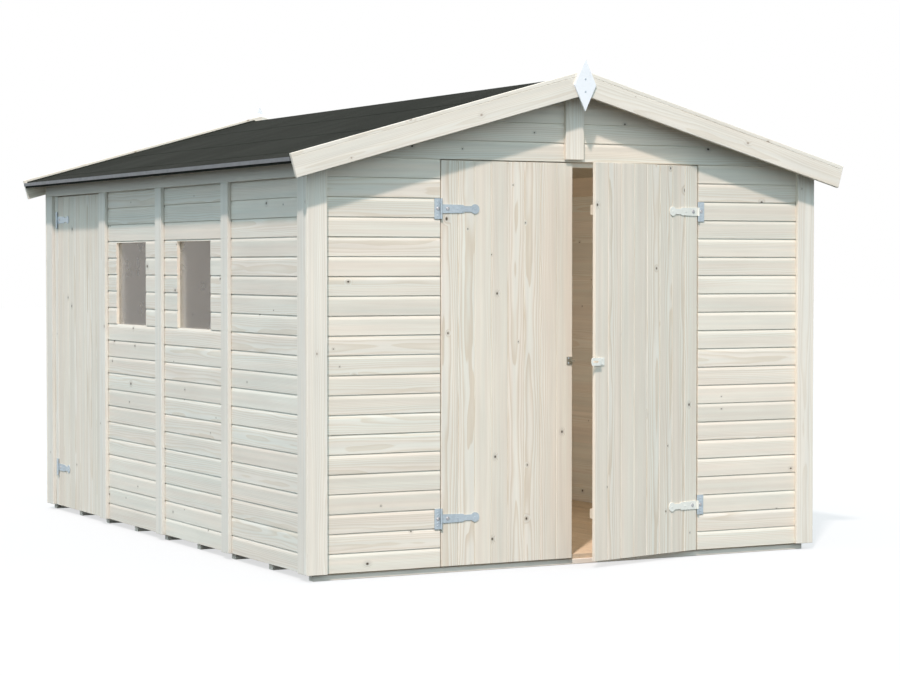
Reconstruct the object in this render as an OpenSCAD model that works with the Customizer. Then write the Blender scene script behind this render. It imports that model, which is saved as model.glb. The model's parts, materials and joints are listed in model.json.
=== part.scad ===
// Timber garden shed: panel walls on a boarded floor, a felted gable roof,
// a pair of front doors and one side door, all hung on T-hinges.
// Millimetres. Z is up, the front faces -Y, and the origin is the middle of
// the footprint, on the ground.

/* [Footprint] */
// Width across the outer faces of the corner boards
shed_w = 2634; // [2300:2:3200]
// Depth across the outer faces of the corner boards
shed_d = 3540; // [3300:2:4400]
// Height of the wall boards' lower edge above the ground
wall_z = 30; // [30:1:60]

/* [Floor] */
// Number of joists under the floor
joist_count = 9; // [5:2:13]
// Height of a joist
joist_h = 24; // [18:1:24]
// Width of a joist
joist_w = 45; // [35:1:70]
// Distance of a joist's end from the side wall's outer face
joist_inset = 40; // [18:1:60]
// Distance of the front joist from the front wall's outer face
front_joist_in = 34; // [18:1:50]
// Distance of the rear joist from the rear wall's outer face
rear_joist_in = 10; // [4:1:50]
// Thickness of the floor boards
floor_t = 22; // [16:1:28]
// Distance of the floor's edge from the wall's outer face
floor_inset = 40; // [40:1:50]

/* [Walls] */
// Cover height of one wall board
board_h = 85; // [80:1:95]
// Boards from the foot to the top of a side wall
side_boards = 20; // [19:1:24]
// Thickness of the wall boards
clad_t = 16; // [14:1:20]
// Thickness of corner boards, battens and fascia boards
trim_t = 18; // [14:1:22]
// Depth of the framing behind the boards
frame_t = 34; // [28:1:50]
// Width of a stud
stud_w = 45; // [38:1:60]
// Width of a corner board on the end walls
corner_end_w = 94; // [80:1:120]
// Width of a corner board on the side walls
corner_side_w = 90; // [75:1:110]
// Width of a batten over a panel joint
batten_w = 84; // [60:1:100]
// Height of the gable panel at its ends
gable_heel = 2; // [2:1:20]
// Height of the front gable batten's foot above the gable panel's lower edge
batten_lift = 10; // [0:1:30]

/* [Windows] */
// Width of a window opening
window_w = 430; // [300:1:480]
// Height of a window opening
window_h = 417; // [300:1:480]
// Boards below a window opening
window_boards = 12; // [9:1:12]
// Width of the frame bars round a pane
window_bar = 34; // [24:1:40]
// Thickness of a pane
pane_t = 4; // [3:0.5:6]
// Width of the rebate that holds a pane
rebate = 12; // [8:1:16]

/* [Doors] */
// Width of one front door leaf
front_leaf_w = 665; // [560:1:760]
// Width of the side door leaf
side_leaf_w = 715; // [640:1:740]
// Thickness of a door leaf
leaf_t = 16; // [14:1:16]
// Gap between a leaf and the wall round it
door_gap = 5; // [5:0.5:8]
// Gap between the two front leaves
meeting_gap = 6; // [6:0.5:10]
// Width of the wall strip behind the side door
jamb_w = 50; // [48:1:60]
// Width of the post batten in front of the side door
post_w = 94; // [80:1:110]
// Height of a door ledge
ledge_h = 45; // [40:1:100]
// Thickness of the ledges and brace
ledge_t = 28; // [16:1:30]
// Distance of a ledge's end from an edge that closes against a stop
ledge_in = 30; // [28:1:60]
// Distance of a ledge's end from a front leaf's meeting edge
ledge_out = 12; // [6:1:30]
// Width of the diagonal brace
brace_w = 45; // [40:1:90]
// How far a stop strip reaches over a door's edge
stop_lap = 20; // [14:1:22]
// Opening angle of the right front leaf, which stands ajar
ajar = 13.7; // [0:0.1:60]

/* [Hinges] */
// Height of the lower hinges above the walls' foot
hinge_rise = 211; // [150:1:300]
// Depth of the upper hinges below a side wall's top
hinge_drop = 131; // [100:1:250]
// Height of a hinge plate
plate_h = 90; // [80:1:120]
// Width of a hinge plate
plate_w = 32; // [30:1:46]
// Length of a hinge strap from the pin
strap_l = 190; // [170:1:240]
// Width of a hinge strap at its root
strap_root = 39; // [34:1:44]
// Width of a hinge strap at its shoulder
strap_w = 35; // [30:1:38]
// Distance of a hinge strap's shoulder from the pin
shoulder_at = 108; // [90:1:115]
// Width of a hinge strap's neck
strap_neck = 25; // [20:1:28]
// Radius of a hinge strap's round end
strap_end_r = 21; // [17:1:23]
// Thickness of the hinge metal
metal_t = 3; // [2:0.5:3.5]
// Outer radius of a hinge knuckle
knuckle_r = 5; // [4.5:0.5:6]
// Radius of a hinge pin
pin_r = 3; // [2:0.5:3]

/* [Hasp] */
// Height of the hasp above the walls' foot
hasp_rise = 893; // [700:1:1100]
// Height of the hasp's arm
hasp_h = 35; // [32:1:48]
// Length of the hasp's arm
hasp_l = 57; // [52:1:70]
// Reach of the hasp's arm past its leaf's edge
hasp_reach = 35; // [33:1:42]
// Radius of the hasp's end
hasp_tip_r = 27; // [25:1:40]
// Gap between the hasp's arm and the boards
hasp_off = 11; // [9:0.5:14]
// Width of the plate that carries the hasp's arm
hasp_plate_w = 34; // [24:1:45]
// Length of the slot in the hasp's arm
slot_l = 35; // [30:1:38]
// Height of the slot
slot_h = 9; // [8.5:0.5:12]
// Metal left between the slot and the hasp's end
slot_margin = 9; // [6:1:10]
// Width of the staple's plate
staple_w = 28; // [24:1:36]
// Distance of the staple's plate from its leaf's edge
staple_in = 2; // [1:0.5:4]
// Reach of the staple's loop
loop_out = 24; // [24:0.5:30]
// Thickness of the staple's loop
loop_t = 4; // [3:0.5:5]
// Width of the square eye in the staple's loop
eye_w = 8; // [6:0.5:9]

/* [Roof] */
// Pitch of the roof in degrees
pitch = 15.6; // [12:0.1:22]
// Thickness of the roof boards
deck_t = 17; // [14:1:22]
// Depth planed off the roof boards along the ridge
ridge_cut = 12; // [1:0.5:13]
// Thickness of the roofing felt
felt_t = 3; // [2:0.5:5]
// Reach of the eaves beyond the side walls
eave_out = 109; // [70:1:160]
// Thickness of the eave strips
strip_t = 12; // [8:1:18]
// Height of the eave strips
strip_h = 17; // [14:1:30]
// Reach of the roof in front of the corner boards
front_out = 80; // [60:1:140]
// Reach of the roof behind the corner boards
rear_out = 62; // [50:1:140]
// Width of a barge board
barge_w = 106; // [85:1:130]
// Thickness of a barge board
barge_t = 18; // [14:1:24]
// Height of a barge board's edge above the felt
barge_up = 18; // [4:1:20]
// Height of a purlin
purlin_h = 95; // [70:1:120]
// Width of a purlin
purlin_w = 45; // [35:1:60]
// Width of a gable finial
finial_w = 114; // [90:1:160]
// Height of a gable finial
finial_h = 235; // [180:1:280]
// Thickness of a gable finial
finial_t = 10; // [8:1:20]
// Depth of a finial's middle below the barge boards' peak
finial_drop = 65; // [50:1:90]

/* [Hidden] */
$fn = 48;
// Overrun of every cut
cut = 1;
// Sawn gap between like boards that meet
saw = 1;
// Radial clearance of a pin in its knuckle
pin_clear = 0.05;
// Gap between a hinge knuckle and the boards behind it
knuckle_gap = 0.8;
// Gap between the knuckles on one pin
knuckle_side = 1;
// Clearance of a pane in its rebate
pane_clear = 0.5;
// Gap between the roof boards and the timbers that carry them
roof_seat = 0.2;
// Clearance of the staple's loop in the hasp's slot
loop_clear = 2.5;

// Plan, measured from the middle of the footprint
hw = shed_w / 2;
hd = shed_d / 2;
clad_x = hw - trim_t;
clad_y = hd - trim_t;
frame_x = clad_x - clad_t;
frame_y = clad_y - clad_t;
room_x = frame_x - frame_t;
room_y = frame_y - frame_t;

// Heights above the ground
floor_z = joist_h + floor_t;
side_top = wall_z + side_boards * board_h;
gable_z = side_top + board_h;
tan_p = tan(pitch);
cos_p = cos(pitch);
sin_p = sin(pitch);
ridge_under = gable_z + gable_heel + clad_x * tan_p;
deck_v = deck_t / cos_p;
felt_v = felt_t / cos_p;
deck_z = ridge_under + roof_seat;
ridge_top = deck_z + deck_v + felt_v;
ridge_flat = ridge_cut / tan_p;
barge_peak = ridge_top + barge_up;
function under(x) = ridge_under - abs(x) * tan_p;

// Doors: places on the front wall and, from the front corner, on the left wall
front_open = meeting_gap / 2 + front_leaf_w + door_gap;
jamb_d = shed_d - trim_t - corner_side_w - jamb_w;
side_leaf_d = jamb_d - door_gap - side_leaf_w;
post_d = side_leaf_d - door_gap - saw - post_w;
joint_shares = [0.35, 0.672];
joints_d = [for (share = joint_shares) share * (post_d + post_w)];
windows_d = [(joints_d[0] + joints_d[1]) / 2, (joints_d[1] + post_d + post_w) / 2];
front_leaf_h = gable_z - door_gap - wall_z;
side_leaf_h = side_top - door_gap - wall_z;
axis_out = knuckle_r + knuckle_gap;
hinge_zs = [wall_z + hinge_rise, side_top - hinge_drop];
stop_gap = door_gap + saw;
stop_t = frame_t - stop_gap;

// Roof ends
eave_x = hw + eave_out;
deck_x = eave_x - strip_t;
barge_x = eave_x + saw;
deck_front = -hd - front_out + barge_t;
deck_rear = hd + rear_out - barge_t;

// Colours
wood = [0.90, 0.87, 0.80];
wood_shade = [0.84, 0.79, 0.70];
joist_tan = [0.74, 0.68, 0.58];
felt_grey = [0.25, 0.26, 0.25];
zinc = [0.72, 0.76, 0.79];
white = [0.94, 0.95, 0.97];
pane_grey = [0.55, 0.54, 0.52, 0.5];

// Box between two opposite corners
module block(low, high) {
  translate(low) cube(high - low);
}

// Outline in the XZ plane carried along Y
module along_y(y0, y1, points) {
  translate([0, y1, 0]) rotate([90, 0, 0]) linear_extrude(y1 - y0) polygon(points);
}

// The same shape on the right and on the left
module both_sides() {
  children();
  mirror([1, 0, 0]) children();
}

// Box on the left wall: depth in from the outer face, distance from the front corner
module on_left(in0, in1, d0, d1, z0, z1) {
  block([in0 - hw, d0 - hd, z0], [in1 - hw, d1 - hd, z1]);
}

// Joists across the shed, evenly spaced under the floor
module floor_joists() {
  first_y = front_joist_in - hd;
  pitch_y = (shed_d - front_joist_in - rear_joist_in - joist_w) / (joist_count - 1);
  color(joist_tan) for (i = [0 : joist_count - 1])
    block([joist_inset - hw, first_y + i * pitch_y, 0],
          [hw - joist_inset, first_y + i * pitch_y + joist_w, joist_h]);
}

module floor_deck() {
  color(wood_shade) block([floor_inset - hw, floor_inset - hd, joist_h],
                          [hw - floor_inset, hd - floor_inset, floor_z]);
}

// Panels on each side of the front doors
module front_wall_panels() {
  color(wood) both_sides()
    block([front_open, -clad_y, wall_z], [clad_x, -frame_y, gable_z]);
}

// Triangular panel that closes the wall under the roof
module gable_panel(y0, y1) {
  along_y(y0, y1, [[-clad_x, gable_z], [clad_x, gable_z], [clad_x, under(clad_x)],
                   [0, ridge_under], [-clad_x, under(clad_x)]]);
}

module front_gable_panel() {
  color(wood) gable_panel(-clad_y, -frame_y);
}

module rear_gable_panel() {
  color(wood) gable_panel(frame_y, clad_y);
}

module rear_wall_panel() {
  color(wood) block([-clad_x, frame_y, wall_z], [clad_x, clad_y, gable_z]);
}

// Left wall panel between two distances from the front corner
module left_panel(d0, d1) {
  on_left(trim_t, trim_t + clad_t, d0, d1, wall_z, side_top);
}

// Window opening with its middle at d, cut between two depths in the wall
module window_cut(d, in0, in1, grow) {
  z0 = wall_z + window_boards * board_h;
  on_left(in0, in1, d - window_w / 2 - grow, d + window_w / 2 + grow,
          z0 - grow, z0 + window_h + grow);
}

module left_wall_front_panel() {
  color(wood) left_panel(trim_t + clad_t, joints_d[0] - saw / 2);
}

// Left wall panel with a window in its middle
module window_panel(d0, d1, middle) {
  difference() {
    left_panel(d0 + saw / 2, d1);
    window_cut(middle, trim_t - cut, trim_t + clad_t + cut, 0);
  }
}

module left_wall_middle_panel() {
  color(wood) window_panel(joints_d[0], joints_d[1] - saw / 2, windows_d[0]);
}

module left_wall_rear_panel() {
  color(wood) window_panel(joints_d[1], post_d + post_w, windows_d[1]);
}

// Wall strip behind the side door, which carries its hinges
module side_door_jamb_board() {
  color(wood) left_panel(jamb_d, shed_d - trim_t - clad_t);
}

// Right wall: plain panels with joints where the left wall has its battens
module right_wall_panels() {
  edges = concat([trim_t + clad_t], joints_d, [post_d + post_w / 2],
                 [shed_d - trim_t - clad_t]);
  color(wood) mirror([1, 0, 0]) for (i = [0 : len(edges) - 2])
    left_panel(edges[i] + (i > 0 ? saw / 2 : 0),
               edges[i + 1] - (i < len(edges) - 2 ? saw / 2 : 0));
}

// Corner boards on the front and rear walls, cut to the roof's slope
module end_corner_boards() {
  x0 = hw - corner_end_w;
  outline = [[x0, wall_z], [hw, wall_z], [hw, under(hw)], [x0, under(x0)]];
  color(wood) both_sides() {
    along_y(-hd, -clad_y, outline);
    along_y(clad_y, hd, outline);
  }
}

// Corner boards on the side walls, butted behind those on the ends
module side_corner_boards() {
  color(wood) both_sides() {
    on_left(0, trim_t, trim_t, trim_t + corner_side_w, wall_z, side_top);
    on_left(0, trim_t, shed_d - trim_t - corner_side_w, shed_d - trim_t, wall_z, side_top);
  }
}

// Battens over the joints of the side walls, and the post batten by the side door
module side_wall_battens() {
  color(wood) both_sides() {
    for (d = joints_d)
      on_left(0, trim_t, d - batten_w / 2, d + batten_w / 2, wall_z, side_top);
    on_left(0, trim_t, post_d, post_d + post_w, wall_z, side_top);
  }
}

// Centre batten outline from a height up to the roof
function centre_batten(z0) =
  [[-corner_end_w / 2, z0], [corner_end_w / 2, z0], [corner_end_w / 2, under(corner_end_w / 2)],
   [0, ridge_under], [-corner_end_w / 2, under(corner_end_w / 2)]];

module front_gable_batten() {
  color(wood) along_y(-hd, -clad_y, centre_batten(gable_z + batten_lift));
}

module rear_wall_batten() {
  color(wood) along_y(clad_y, hd, centre_batten(wall_z));
}

// Smooth boards along the top of the side walls, under the eaves
module eave_boards() {
  color(wood) both_sides()
    along_y(-clad_y, clad_y, [[clad_x, side_top], [hw, side_top],
                              [hw, under(hw)], [clad_x, under(clad_x)]]);
}

// Studs of all four walls, standing on the floor
module wall_studs() {
  in0 = trim_t + clad_t;
  in1 = in0 + frame_t;
  shared_d = concat([in0], [for (d = joints_d) d - stud_w / 2],
                    [post_d + post_w - stud_w, shed_d - in0 - stud_w]);
  rear_shares = [-1 / 2, 0, 1 / 2];
  color(wood_shade) {
    both_sides() {
      for (d = shared_d)
        on_left(in0, in1, d, d + stud_w, floor_z, side_top);
      block([front_open, -frame_y, floor_z], [front_open + stud_w, -room_y, gable_z]);
    }
    on_left(in0, in1, jamb_d, jamb_d + stud_w, floor_z, side_top);
    for (share = rear_shares)
      block([share * shed_w / 2 - stud_w / 2, room_y, floor_z],
            [share * shed_w / 2 + stud_w / 2, frame_y, gable_z]);
  }
}

// Plates on the side walls that carry the roof boards
module wall_top_plates() {
  color(wood_shade) both_sides()
    along_y(-frame_y, frame_y, [[room_x, side_top], [clad_x, side_top],
                                [clad_x, under(clad_x)], [room_x, under(room_x)]]);
}

// Rails across the end walls, at the foot of the gable panels, cut to the roof's slope
module gable_rails() {
  knee = (ridge_under - gable_z - stud_w) / tan_p;
  outline = [[-room_x, gable_z], [room_x, gable_z], [room_x, under(room_x)], [knee, gable_z + stud_w],
             [-knee, gable_z + stud_w], [-room_x, under(room_x)]];
  color(wood_shade) {
    along_y(-frame_y, -room_y, outline);
    along_y(room_y, frame_y, outline);
  }
}

// Strips that the front doors close against, behind their edges
module front_door_stops() {
  y0 = -room_y - stop_t;
  color(wood_shade) {
    both_sides()
      block([front_open - stop_lap, y0, floor_z], [front_open, -room_y, gable_z]);
    block([stop_lap + saw - front_open, y0, gable_z - door_gap - stop_lap + saw],
          [front_open - stop_lap - saw, -room_y, gable_z]);
  }
}

// Strips that the side door closes against
module side_door_stops() {
  in0 = trim_t + clad_t + stop_gap;
  in1 = trim_t + clad_t + frame_t;
  open0 = post_d + post_w;
  color(wood_shade) {
    on_left(in0, in1, open0, open0 + stop_lap, floor_z, side_top);
    on_left(in0, in1, jamb_d - stop_lap, jamb_d, floor_z, side_top);
    on_left(in0, in1, open0 + stop_lap + saw, jamb_d - stop_lap - saw,
            side_top - door_gap - stop_lap + saw, side_top);
  }
}

// Frames that line the window openings and hold the panes in a rebate, against the wall boards
module window_frames() {
  in0 = trim_t + clad_t;
  in1 = in0 + frame_t;
  color(wood_shade) for (d = windows_d) difference() {
    window_cut(d, in0, in1, window_bar);
    window_cut(d, in0 - cut, in1 + cut, 0);
    window_cut(d, in0 - cut, in0 + pane_t, rebate);
  }
}

module window_panes() {
  in0 = trim_t + clad_t;
  color(pane_grey) for (d = windows_d)
    window_cut(d, in0, in0 + pane_t, rebate - pane_clear);
}

// Ridge purlin and one purlin under the middle of each slope
module roof_purlins() {
  half = purlin_w / 2;
  x0 = (room_x - purlin_w) / 2;
  x1 = x0 + purlin_w;
  color(wood_shade) {
    along_y(-frame_y, frame_y, [[-half, ridge_under - purlin_h], [half, ridge_under - purlin_h],
                                [half, under(half)], [0, ridge_under], [-half, under(half)]]);
    both_sides()
      along_y(-frame_y, frame_y, [[x0, under(x0) - purlin_h], [x1, under(x0) - purlin_h],
                                  [x1, under(x1)], [x0, under(x0)]]);
  }
}

// Line of one slope from the ridge's flat down to the eave, given its height at the peak
function slope_line(z) = [[ridge_flat, z - ridge_cut], [deck_x, z - deck_x * tan_p]];

// Boards of one slope, with their peak planed flat along the ridge
module deck_slope() {
  top = slope_line(deck_z + deck_v);
  along_y(deck_front, deck_rear, [[saw / 2, deck_z - saw / 2 * tan_p], slope_line(deck_z)[1],
                                  top[1], top[0], [saw / 2, top[0][1]]]);
}

// Felt on one slope, laid over the flat of the ridge
module felt_slope() {
  low = slope_line(deck_z + deck_v);
  top = slope_line(ridge_top);
  along_y(deck_front, deck_rear, [[saw / 2, low[0][1]], low[0], low[1],
                                  top[1], top[0], [saw / 2, top[0][1]]]);
}

module roof_deck() {
  color(wood) both_sides() deck_slope();
}

module roofing_felt_right() {
  color(felt_grey) felt_slope();
}

module roofing_felt_left() {
  color(felt_grey) mirror([1, 0, 0]) felt_slope();
}

// Strips along the eaves that cover the ends of the roof boards
module eave_strips() {
  top_z = ridge_top - deck_x * tan_p;
  color(zinc) both_sides()
    block([deck_x, deck_front, top_z - strip_h], [eave_x, deck_rear, top_z]);
}

// Pair of barge boards, mitred at the peak and cut square at the eaves
module barge_pair(y0, y1) {
  z_end = barge_peak - barge_x * tan_p;
  both_sides()
    along_y(y0, y1, [[saw / 2, barge_peak - saw / 2 * tan_p - barge_w / cos_p],
      [barge_x - barge_w * sin_p, z_end - barge_w * cos_p], [barge_x, z_end],
      [saw / 2, barge_peak - saw / 2 * tan_p]]);
}

module front_barge_boards() {
  color(wood) barge_pair(-hd - front_out, deck_front);
}

module rear_barge_boards() {
  color(wood) barge_pair(deck_rear, hd + rear_out);
}

// Diamond plates over the mitres of the barge boards
module gable_finials() {
  z = barge_peak - finial_drop;
  diamond = [[0, z - finial_h / 2], [finial_w / 2, z], [0, z + finial_h / 2], [-finial_w / 2, z]];
  color(white) {
    along_y(-hd - front_out - finial_t, -hd - front_out, diamond);
    along_y(hd + rear_out, hd + rear_out + finial_t, diamond);
  }
}

// Places a piece drawn for one hinge line: x along the closed leaf from the pin,
// y into the wall from the pin, z up
module at_left_hinge() {
  translate([door_gap / 2 - front_open, -clad_y - axis_out, 0]) children();
}

module at_right_hinge(angle) {
  translate([front_open - door_gap / 2, -clad_y - axis_out, 0])
    rotate([0, 0, angle]) mirror([1, 0, 0]) children();
}

module at_side_hinge() {
  translate([-clad_x - axis_out, jamb_d - door_gap / 2 - hd, 0]) rotate([0, 0, -90]) children();
}

// Fixed half of a T-hinge: plate, two knuckles and the pin
module hinge_plate() {
  root = strap_root / 2 + knuckle_side;
  difference() {
    union() {
      block([-plate_w, axis_out - metal_t, -plate_h / 2], [0, axis_out, plate_h / 2]);
      translate([0, 0, -plate_h / 2]) cylinder(h = plate_h, r = knuckle_r);
    }
    block([-knuckle_r - knuckle_side, -knuckle_r - cut, -root], [knuckle_r + cut, axis_out + cut, root]);
  }
  translate([0, 0, -plate_h / 2]) cylinder(h = plate_h, r = pin_r);
}

// Moving half of a T-hinge: a tapered strap with a neck and a round end, and its knuckle
module hinge_strap() {
  root_l = 2 * knuckle_r;
  neck_at = shoulder_at + strap_w - strap_neck;
  end_x = strap_l - strap_end_r;
  difference() {
    union() {
      translate([0, axis_out, 0]) rotate([90, 0, 0]) linear_extrude(metal_t) {
        polygon([[0, -strap_root / 2], [root_l, -strap_root / 2], [shoulder_at, -strap_w / 2],
                 [neck_at, -strap_neck / 2], [end_x, -strap_neck / 2], [end_x, strap_neck / 2],
                 [neck_at, strap_neck / 2], [shoulder_at, strap_w / 2], [root_l, strap_root / 2],
                 [0, strap_root / 2]]);
        translate([end_x, 0]) circle(r = strap_end_r);
      }
      translate([0, 0, -strap_root / 2]) cylinder(h = strap_root, r = knuckle_r);
    }
    translate([0, 0, -strap_root / 2 - cut]) cylinder(h = strap_root + 2 * cut, r = pin_r + pin_clear);
  }
}

module hinge_plates() {
  for (z = hinge_zs) translate([0, 0, z]) hinge_plate();
}

module hinge_straps() {
  for (z = hinge_zs) translate([0, 0, z]) hinge_strap();
}

module front_door_hinge_plates() {
  color(zinc) {
    at_left_hinge() hinge_plates();
    at_right_hinge(0) hinge_plates();
  }
}

module side_door_hinge_plates() {
  color(zinc) at_side_hinge() hinge_plates();
}

// Door leaf of given width and height
module leaf(w, h) {
  block([door_gap / 2, axis_out, wall_z], [door_gap / 2 + w, axis_out + leaf_t, wall_z + h]);
}

// Ledges across the inside of a leaf at the hinges, and the brace between them
module ledges(w, free_in) {
  x0 = door_gap / 2 + ledge_in;
  x1 = door_gap / 2 + w - free_in;
  y0 = axis_out + leaf_t;
  z0 = hinge_zs[0] + ledge_h / 2 + saw;
  z1 = hinge_zs[1] - ledge_h / 2 - saw;
  for (z = hinge_zs)
    block([x0, y0, z - ledge_h / 2], [x1, y0 + ledge_t, z + ledge_h / 2]);
  along_y(y0, y0 + ledge_t, [[x0, z0], [x0 + brace_w, z0], [x1 - brace_w, z1], [x1 - 2 * brace_w, z1]]);
}

module left_door_leaf() {
  color(wood) at_left_hinge() leaf(front_leaf_w, front_leaf_h);
}

module left_door_ledges() {
  color(wood_shade) at_left_hinge() ledges(front_leaf_w, ledge_out);
}

module left_door_hinge_straps() {
  color(zinc) at_left_hinge() hinge_straps();
}

module right_door_leaf() {
  color(wood) at_right_hinge(ajar) leaf(front_leaf_w, front_leaf_h);
}

module right_door_ledges() {
  color(wood_shade) at_right_hinge(ajar) ledges(front_leaf_w, ledge_out);
}

module right_door_hinge_straps() {
  color(zinc) at_right_hinge(ajar) hinge_straps();
}

module side_door_leaf() {
  color(wood) at_side_hinge() leaf(side_leaf_w, side_leaf_h);
}

module side_door_ledges() {
  color(wood_shade) at_side_hinge() ledges(side_leaf_w, ledge_in);
}

module side_door_hinge_straps() {
  color(zinc) at_side_hinge() hinge_straps();
}

// Staple on the left leaf: a plate with a level loop that passes through the hasp's slot
module left_door_staple() {
  edge = door_gap / 2 + front_leaf_w;
  z = wall_z + hasp_rise;
  x1 = edge - staple_in;
  loop_x0 = edge + meeting_gap + slot_margin + loop_clear - hasp_reach;
  loop_x1 = edge - loop_clear;
  mid = (loop_x0 + loop_x1) / 2;
  loop_y = axis_out - metal_t - loop_out;
  color(zinc) at_left_hinge() {
    block([x1 - staple_w, axis_out - metal_t, z - hasp_h / 2], [x1, axis_out, z + hasp_h / 2]);
    difference() {
      block([loop_x0, loop_y, z - loop_t / 2], [loop_x1, axis_out - metal_t, z + loop_t / 2]);
      block([mid - eye_w / 2, loop_y + loop_t, z - loop_t / 2 - cut],
            [mid + eye_w / 2, loop_y + loop_t + eye_w, z + loop_t / 2 + cut]);
    }
  }
}

// Hasp on the right leaf: a screwed plate and a slotted arm that reaches past the edge
module right_door_hasp() {
  tip = door_gap / 2 + front_leaf_w + hasp_reach;
  root = tip - hasp_l;
  round_x = tip - hasp_tip_r;
  z = wall_z + hasp_rise;
  arm_y = axis_out - hasp_off;
  color(zinc) at_right_hinge(ajar) translate([0, 0, z]) {
    block([root - hasp_plate_w, axis_out - metal_t, -hasp_h / 2], [root + metal_t, axis_out, hasp_h / 2]);
    block([root, arm_y, -hasp_h / 2], [root + metal_t, axis_out - metal_t, hasp_h / 2]);
    translate([0, arm_y, 0]) rotate([90, 0, 0]) linear_extrude(metal_t) difference() {
      union() {
        translate([root, -hasp_h / 2]) square([round_x - root, hasp_h]);
        intersection() {
          translate([round_x, 0]) circle(r = hasp_tip_r);
          translate([round_x, -hasp_h / 2]) square([hasp_tip_r, hasp_h]);
        }
      }
      translate([tip - slot_margin - slot_l, -slot_h / 2]) square([slot_l, slot_h]);
    }
  }
}

floor_joists();
floor_deck();
front_wall_panels();
front_gable_panel();
rear_wall_panel();
rear_gable_panel();
left_wall_front_panel();
left_wall_middle_panel();
left_wall_rear_panel();
side_door_jamb_board();
right_wall_panels();
end_corner_boards();
side_corner_boards();
side_wall_battens();
front_gable_batten();
rear_wall_batten();
eave_boards();
wall_studs();
wall_top_plates();
gable_rails();
front_door_stops();
side_door_stops();
window_frames();
window_panes();
roof_purlins();
roof_deck();
roofing_felt_left();
roofing_felt_right();
eave_strips();
front_barge_boards();
rear_barge_boards();
gable_finials();
front_door_hinge_plates();
side_door_hinge_plates();
left_door_leaf();
left_door_ledges();
left_door_hinge_straps();
left_door_staple();
right_door_leaf();
right_door_ledges();
right_door_hinge_straps();
right_door_hasp();
side_door_leaf();
side_door_ledges();
side_door_hinge_straps();
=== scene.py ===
"""Looks of a timber garden shed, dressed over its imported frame.

Each board, batten, hinge bolt and sheet of felt is worked out here at the place of the solid that
carries it. Metres, Z up, the front towards -Y, the middle of the footprint at the origin.
"""
import json
import math

import bpy
import numpy as np
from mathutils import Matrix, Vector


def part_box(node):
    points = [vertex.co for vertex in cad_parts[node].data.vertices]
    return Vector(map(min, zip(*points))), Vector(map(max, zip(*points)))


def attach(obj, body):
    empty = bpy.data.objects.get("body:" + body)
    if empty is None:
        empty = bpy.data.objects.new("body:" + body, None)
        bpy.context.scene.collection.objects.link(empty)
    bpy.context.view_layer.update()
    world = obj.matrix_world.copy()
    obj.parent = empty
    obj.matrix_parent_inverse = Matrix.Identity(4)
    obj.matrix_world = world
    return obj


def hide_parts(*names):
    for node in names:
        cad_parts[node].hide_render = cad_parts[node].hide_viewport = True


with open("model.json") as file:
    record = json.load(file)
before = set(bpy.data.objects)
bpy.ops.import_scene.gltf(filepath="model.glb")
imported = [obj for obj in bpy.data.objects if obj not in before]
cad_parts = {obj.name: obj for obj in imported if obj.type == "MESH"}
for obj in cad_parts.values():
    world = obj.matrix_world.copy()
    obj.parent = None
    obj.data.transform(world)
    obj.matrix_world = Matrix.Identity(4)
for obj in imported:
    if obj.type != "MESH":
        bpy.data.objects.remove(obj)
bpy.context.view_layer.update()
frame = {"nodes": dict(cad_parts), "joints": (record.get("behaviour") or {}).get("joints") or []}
rng = np.random.default_rng(12)
solid = {name: np.array([list(corner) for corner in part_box(name)]) for name in frame["nodes"]}

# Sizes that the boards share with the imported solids
BOARD, FRONT_ROWS, SIDE_ROWS = 0.085, 21, 20
TRIM_T, CLAD_T, FRAME_T, STUD_W = 0.018, 0.016, 0.034, 0.045
CORNER_END_W, CORNER_SIDE_W, BATTEN_W, POST_W = 0.094, 0.090, 0.084, 0.094
JOIST_W, JOIST_H, JOISTS = 0.045, 0.024, 9
DOOR_GAP, STOP_LAP, SAW = 0.005, 0.020, 0.001
FRONT_LEAF_W, SIDE_LEAF_W, LEAF_T = 0.665, 0.715, 0.016
LEDGE_H, LEDGE_T, LEDGE_IN, LEDGE_OUT, BRACE_W = 0.045, 0.028, 0.030, 0.012, 0.045
AXIS_OUT, METAL_T, STRAP_END = 0.0058, 0.003, 0.021
WINDOW_W, WINDOW_H, WINDOW_ROWS, WINDOW_BAR, PANE_T, REBATE = 0.430, 0.417, 12, 0.034, 0.004, 0.012
ROOF_SEAT, DECK_T, FELT_T = 0.0002, 0.017, 0.003
BARGE_W, VERGE_T, VERGE_W = 0.106, 0.008, 0.017
FINIAL_T = 0.010
PITCH = math.radians(15.6)
SIN, COS, TAN = math.sin(PITCH), math.cos(PITCH), math.tan(PITCH)
DOWN, OUT = np.array([COS, 0, -SIN]), np.array([SIN, 0, COS])

# Sizes of what only the looks have
FLOOR_BOARDS, LEAF_BOARDS, ROOF_BOARDS = 25, 8, 43
FLOOR_SEAM, LEAF_SEAM, ROOF_SEAM, RIDGE_GAP = 0.0006, 0.0002, 0.0004, 0.0003
EASE, END_EASE, TRIM_EASE, SAWN_EASE, STRIP_EASE, FOLD_EASE = 0.0015, 0.0012, 0.0018, 0.002, 0.0012, 0.0006
LEAF_EASE, LEAF_V, ROOF_EASE, ROOF_END_EASE, TIP_EASE = 0.0008, 0.0022, 0.0008, 0.0025, 0.0004
WALL_SETTLE, LEAF_SETTLE, GRAIN_SPREAD = 0.0006, 0.0004, 20
FILLET_H, FILLET_W, LAP_T, DRIP_H = 0.005, 0.022, 0.0015, 0.010
LAP_SHARES, LAP_EDGES = np.array([0.30, 0.62, 0.90]), (-0.0035, -0.0012, 0.0004, 0.0016)
LAP_STEP, FELT_SKIN, FELT_WAVE, FADE_DOWN, FADE_ALONG = 0.0016, 0.0002, 0.0005, 0.08, 0.03
FELT_WAVES, FELT_STEPS_DOWN, FELT_STEPS_ALONG = 6, 70, 90

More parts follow.
